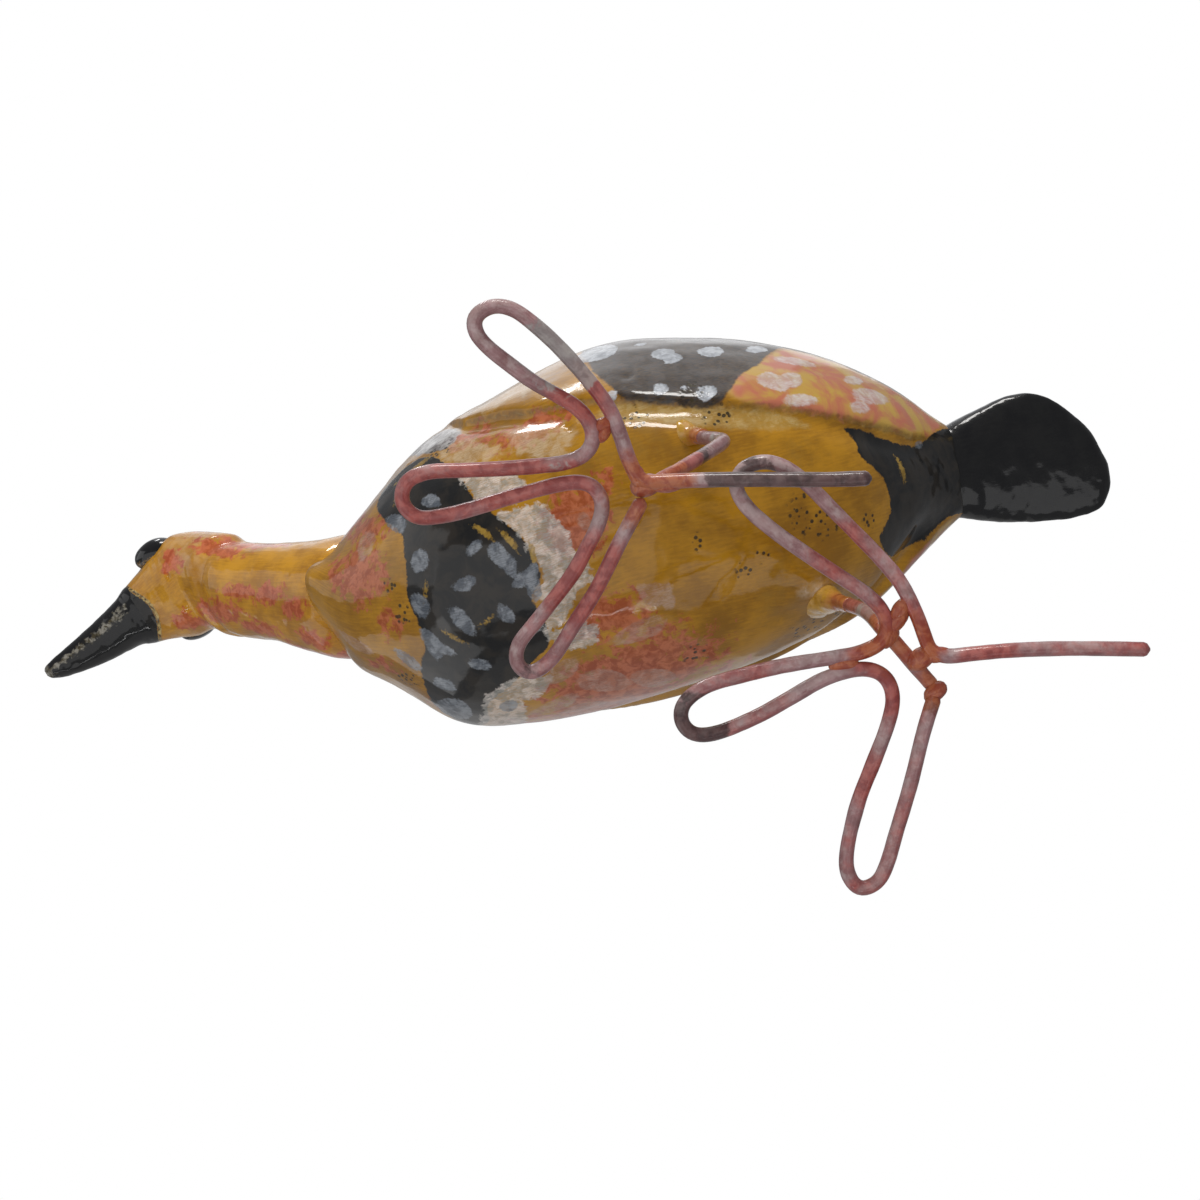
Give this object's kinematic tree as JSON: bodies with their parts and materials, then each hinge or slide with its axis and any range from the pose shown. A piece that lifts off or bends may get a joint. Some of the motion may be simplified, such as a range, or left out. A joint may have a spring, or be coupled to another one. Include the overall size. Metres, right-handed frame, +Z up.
{
  "type": "bird figurine",
  "caption": "Carved and painted wooden bird standing on bent and welded wire legs and looped toes, made as a shelf ornament.",
  "frame": {"origin": "the point on the standing plane between the two feet, under the front half of the body", "axes": "+Z up, -Y ahead toward the bill, +Y back toward the tail, +X to the bird's left"},
  "size_m": [0.155, 0.2937, 0.162],
  "materials": {
    "body_paint": "glossy hand-painted ochre with black and white wings, over carved wood",
    "head_paint": "glossy hand-painted ochre stippled with red, over carved wood",
    "bill_paint": "glossy black paint over carved wood, worn along the edge",
    "tail_paint": "glossy black paint over carved wood",
    "dowel_wood": "bare wood, hidden",
    "eye_bead": "polished black bead",
    "leg_wire": "round steel wire brushed with dull red paint",
    "foot_wire": "round steel wire brushed with dull pink paint, worn",
    "weld": "blob of weld metal under the same paint",
    "filler": "hard putty painted with the body"
  },
  "bodies": {
    "root": {"body": "body_paint", "head_and_neck": "head_paint", "bill": "bill_paint", "tail": "tail_paint", "neck_dowel": "dowel_wood", "left_eye": "eye_bead", "right_eye": "eye_bead", "left_leg": "leg_wire", "right_leg": "leg_wire", "left_leg_filler": "filler", "right_leg_filler": "filler", "left_foot": "foot_wire", "right_foot": "foot_wire", "left_ankle_weld": "weld", "left_toe_weld": "weld", "right_ankle_weld": "weld", "right_heel_weld": "weld", "right_leg_end_weld": "weld", "right_toe_welds": "weld"}
  },
  "joints": []
}
